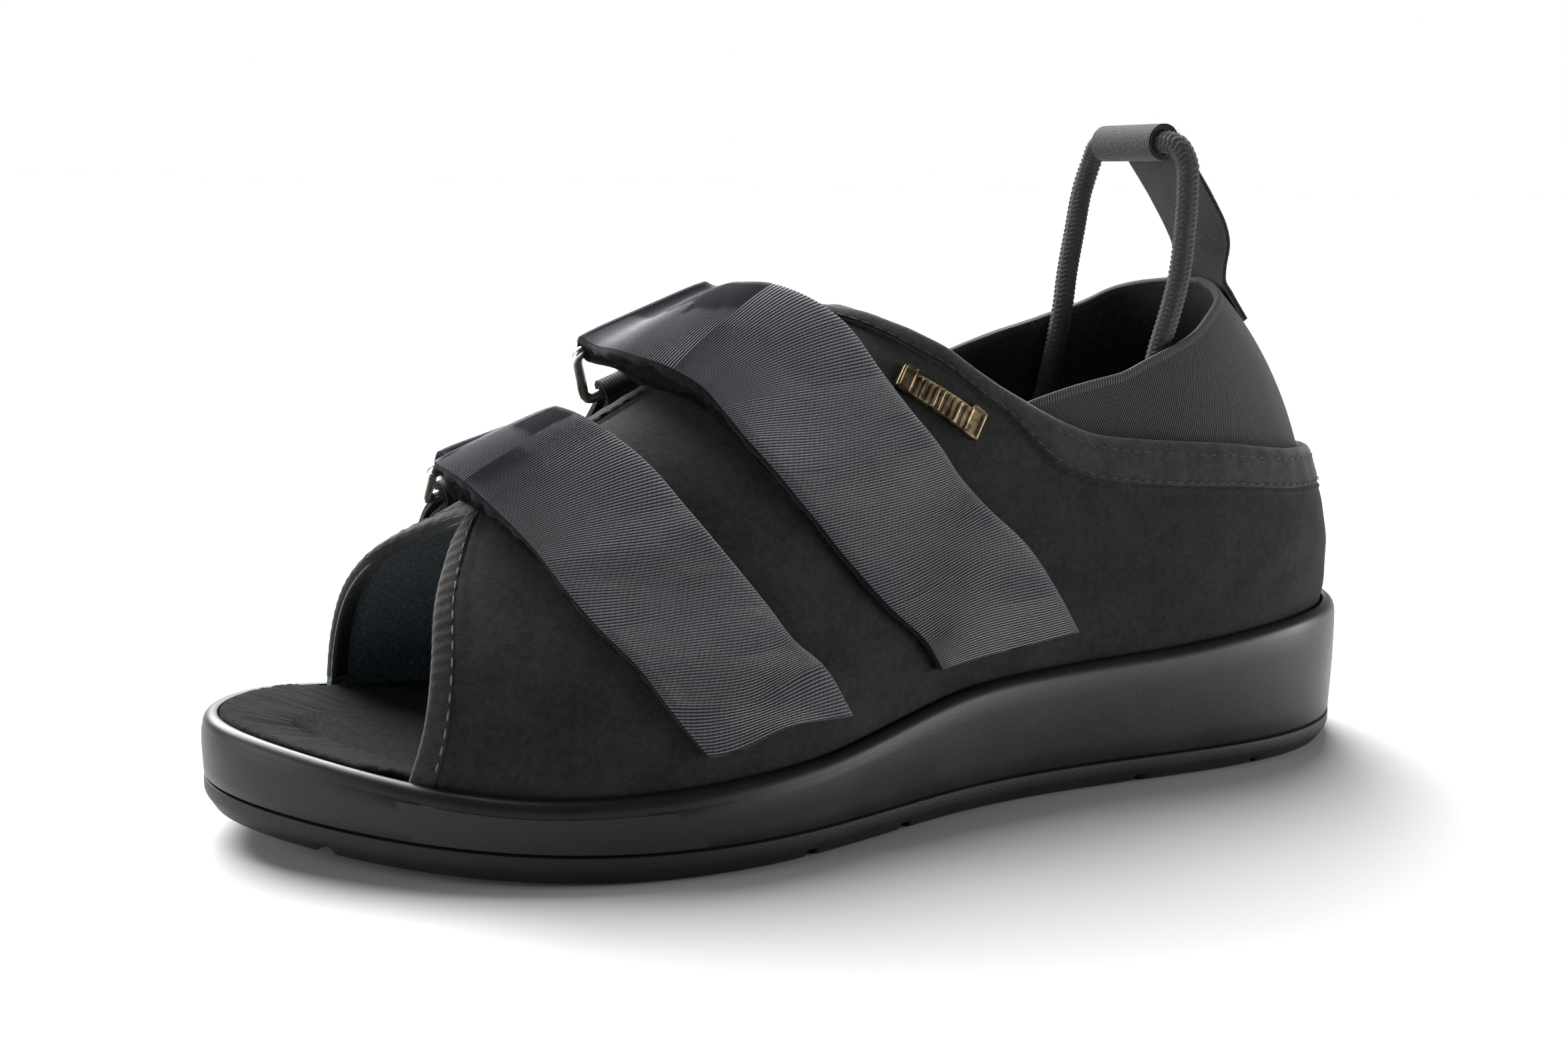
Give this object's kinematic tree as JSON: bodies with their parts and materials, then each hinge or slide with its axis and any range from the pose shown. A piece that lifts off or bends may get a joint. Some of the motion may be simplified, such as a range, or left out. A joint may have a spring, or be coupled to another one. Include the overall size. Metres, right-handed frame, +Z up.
{
  "type": "lymphedema shoe",
  "caption": "Open-toe therapeutic shoe for the left foot: wedge sole, overlapping suede flaps, two straps turned back through metal rings, elastic heel band and cord pull loop.",
  "frame": {"origin": "on the floor under the middle of the sole's length, on the line from the heel's back to the toe", "axes": "+X from heel to toe, +Y to the outer side of the foot, +Z up"},
  "size_m": [0.2902, 0.1114, 0.1562],
  "materials": {
    "sole_rubber": "matt black rubber",
    "sole_foam": "satin black moulded foam",
    "footbed_terry": "charcoal terry",
    "suede": "near-black napped microfibre",
    "elastic": "ribbed black elastic",
    "strap_loop": "dark grey ribbed knit",
    "nickel": "polished nickel",
    "old_brass": "antique brass",
    "braided_cord": "braided black cord"
  },
  "bodies": {
    "root": {"outsole": "sole_rubber", "midsole": "sole_foam", "insole": "footbed_terry", "upper": "suede", "heel_elastic": "elastic", "strap_front": "strap_loop", "strap_rear": "strap_loop", "ring_front": "nickel", "ring_rear": "nickel", "tab_front": "elastic", "tab_rear": "elastic", "badge": "old_brass", "pull_tab": "elastic", "pull_cord": "braided_cord"}
  },
  "joints": []
}
